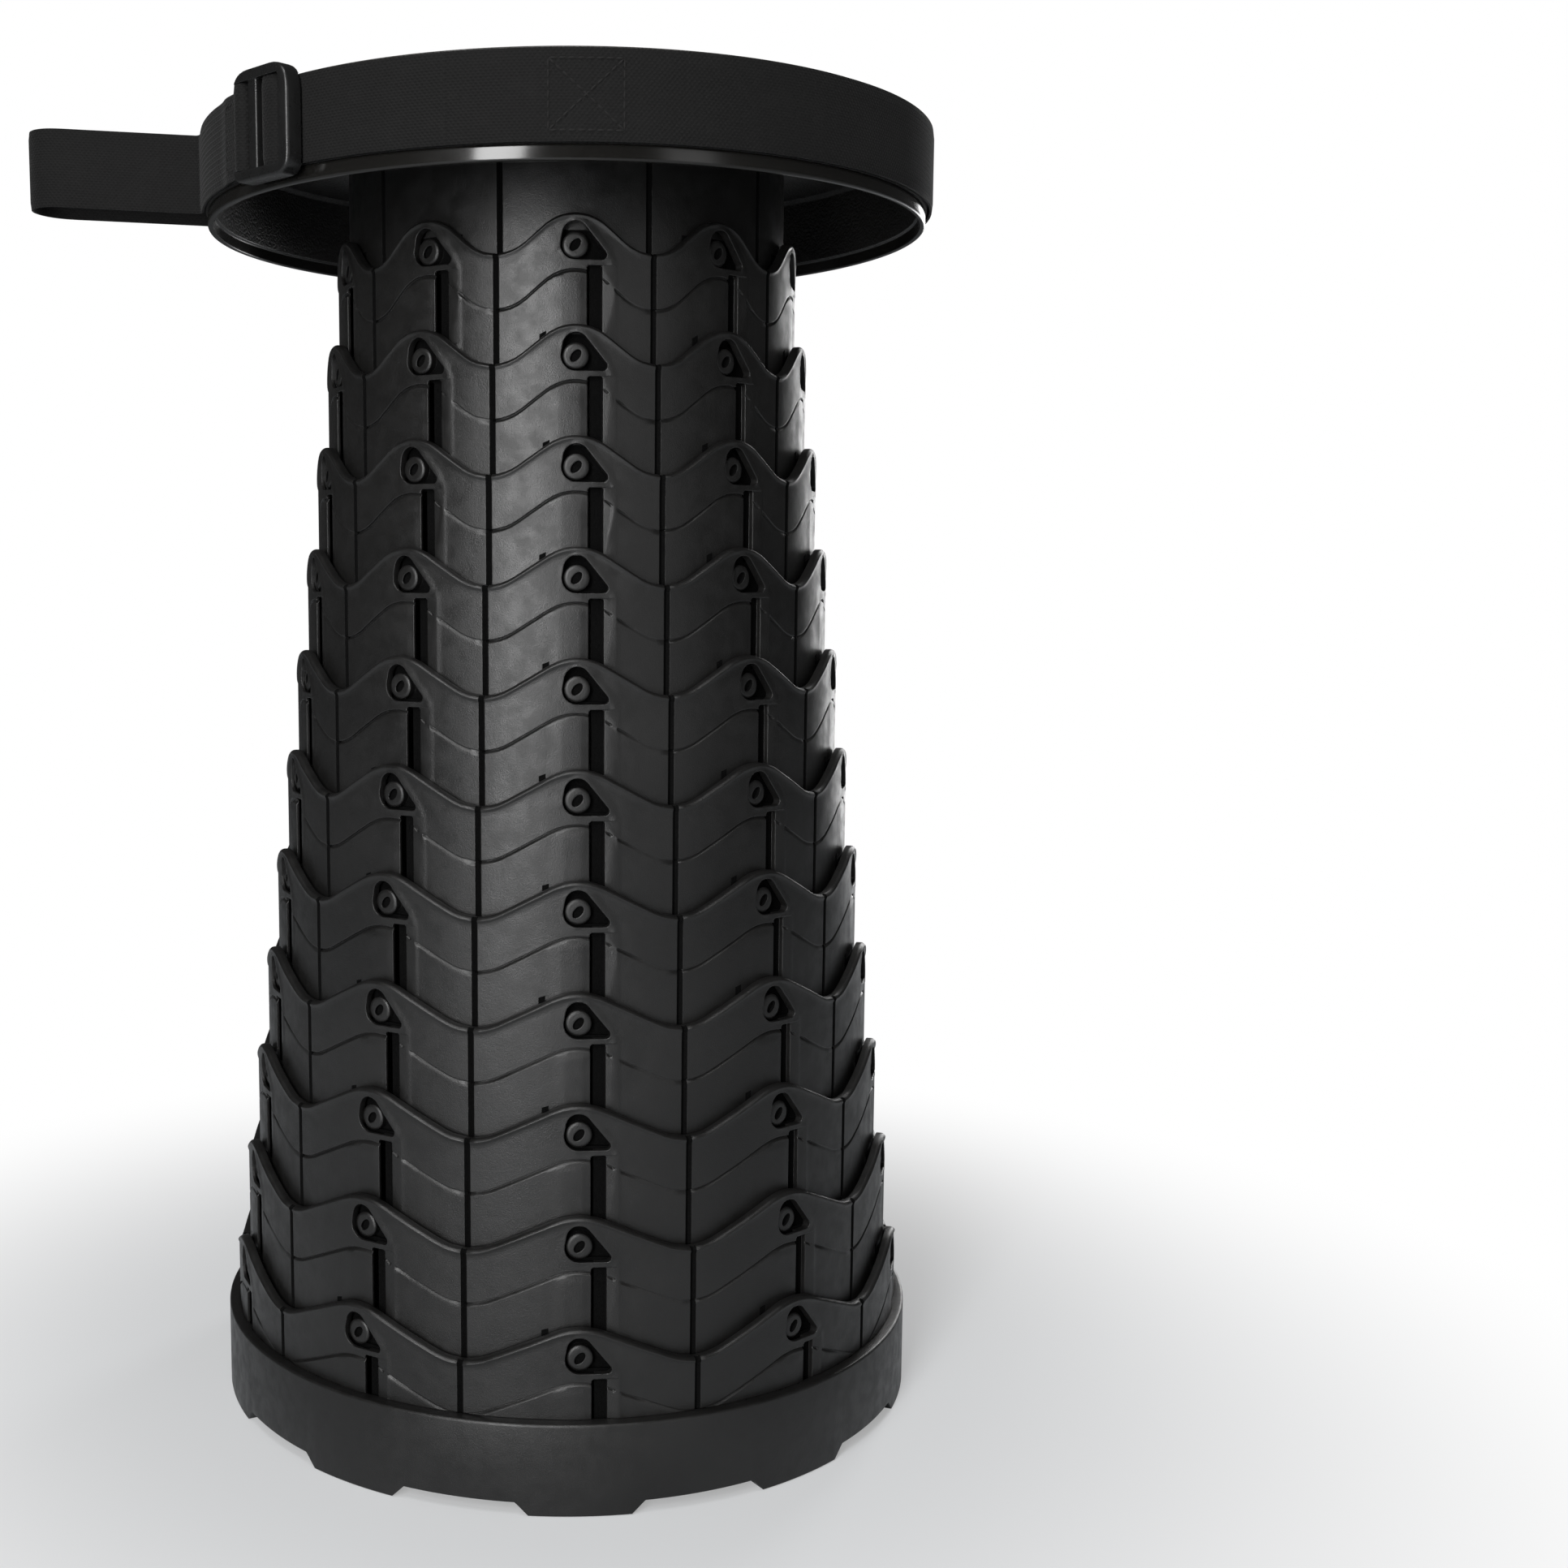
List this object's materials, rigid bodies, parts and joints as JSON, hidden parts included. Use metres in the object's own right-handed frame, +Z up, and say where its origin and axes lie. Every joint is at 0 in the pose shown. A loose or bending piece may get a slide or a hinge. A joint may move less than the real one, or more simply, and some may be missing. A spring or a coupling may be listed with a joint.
{
  "type": "camp stool",
  "caption": "Telescopic round camp stool: nested wave-edged plastic rings on a wide foot, under a flat round seat with finger wells and a webbing carry strap.",
  "frame": {"origin": "centre of the foot, on the floor", "axes": "+Z up through the middle of the rings and the seat; front is -Y; the carry loop points to -X"},
  "size_m": [0.3152, 0.2555, 0.4469],
  "materials": {
    "ring_plastic": "satin moulded black, fine grain",
    "base_plastic": "satin moulded black",
    "plate_plastic": "matt moulded black",
    "seat_plastic": "pebbled black",
    "cap_plastic": "finely pebbled black",
    "webbing": "ribbed black webbing",
    "buckle_plastic": "smooth black",
    "screw_steel": "zinc plated",
    "rivet_steel": "blackened"
  },
  "bodies": {
    "base": {"base_ring": "base_plastic", "base_plate": "plate_plastic", "base_screws": "screw_steel"},
    "stage_11": {"ring_11": "ring_plastic"},
    "stage_10": {"ring_10": "ring_plastic"},
    "stage_09": {"ring_09": "ring_plastic"},
    "stage_08": {"ring_08": "ring_plastic"},
    "stage_07": {"ring_07": "ring_plastic"},
    "stage_06": {"ring_06": "ring_plastic"},
    "stage_05": {"ring_05": "ring_plastic"},
    "stage_04": {"ring_04": "ring_plastic"},
    "stage_03": {"ring_03": "ring_plastic"},
    "stage_02": {"ring_02": "ring_plastic"},
    "seat": {"seat_tube": "ring_plastic", "seat_shell": "seat_plastic", "centre_cap": "cap_plastic", "seat_screws": "screw_steel", "strap_belt": "webbing", "strap_tail": "webbing", "handle_loop": "webbing", "strap_rivets": "rivet_steel"},
    "buckle_body": {"buckle": "buckle_plastic"}
  },
  "joints": [
    {"name": "slide_11", "type": "slide", "parent": "base", "child": "stage_11", "axis": [0, 0, 1], "range_m": [-0.0347, 0]},
    {"name": "slide_10", "type": "slide", "parent": "stage_11", "child": "stage_10", "axis": [0, 0, 1], "range_m": [-0.0347, 0]},
    {"name": "slide_09", "type": "slide", "parent": "stage_10", "child": "stage_09", "axis": [0, 0, 1], "range_m": [-0.0347, 0]},
    {"name": "slide_08", "type": "slide", "parent": "stage_09", "child": "stage_08", "axis": [0, 0, 1], "range_m": [-0.0347, 0]},
    {"name": "slide_07", "type": "slide", "parent": "stage_08", "child": "stage_07", "axis": [0, 0, 1], "range_m": [-0.0347, 0]},
    {"name": "slide_06", "type": "slide", "parent": "stage_07", "child": "stage_06", "axis": [0, 0, 1], "range_m": [-0.0347, 0]},
    {"name": "slide_05", "type": "slide", "parent": "stage_06", "child": "stage_05", "axis": [0, 0, 1], "range_m": [-0.0347, 0]},
    {"name": "slide_04", "type": "slide", "parent": "stage_05", "child": "stage_04", "axis": [0, 0, 1], "range_m": [-0.0347, 0]},
    {"name": "slide_03", "type": "slide", "parent": "stage_04", "child": "stage_03", "axis": [0, 0, 1], "range_m": [-0.0347, 0]},
    {"name": "slide_02", "type": "slide", "parent": "stage_03", "child": "stage_02", "axis": [0, 0, 1], "range_m": [-0.0347, 0]},
    {"name": "seat_slide", "type": "slide", "parent": "stage_02", "child": "seat", "axis": [0, 0, 1], "range_m": [-0.0347, 0]},
    {"name": "buckle_tilt", "type": "hinge", "parent": "seat", "child": "buckle_body", "pos_m": [-0.10188, -0.08179, 0.4303], "axis": [0, 0, -1], "range_deg": [0, 35]}
  ]
}
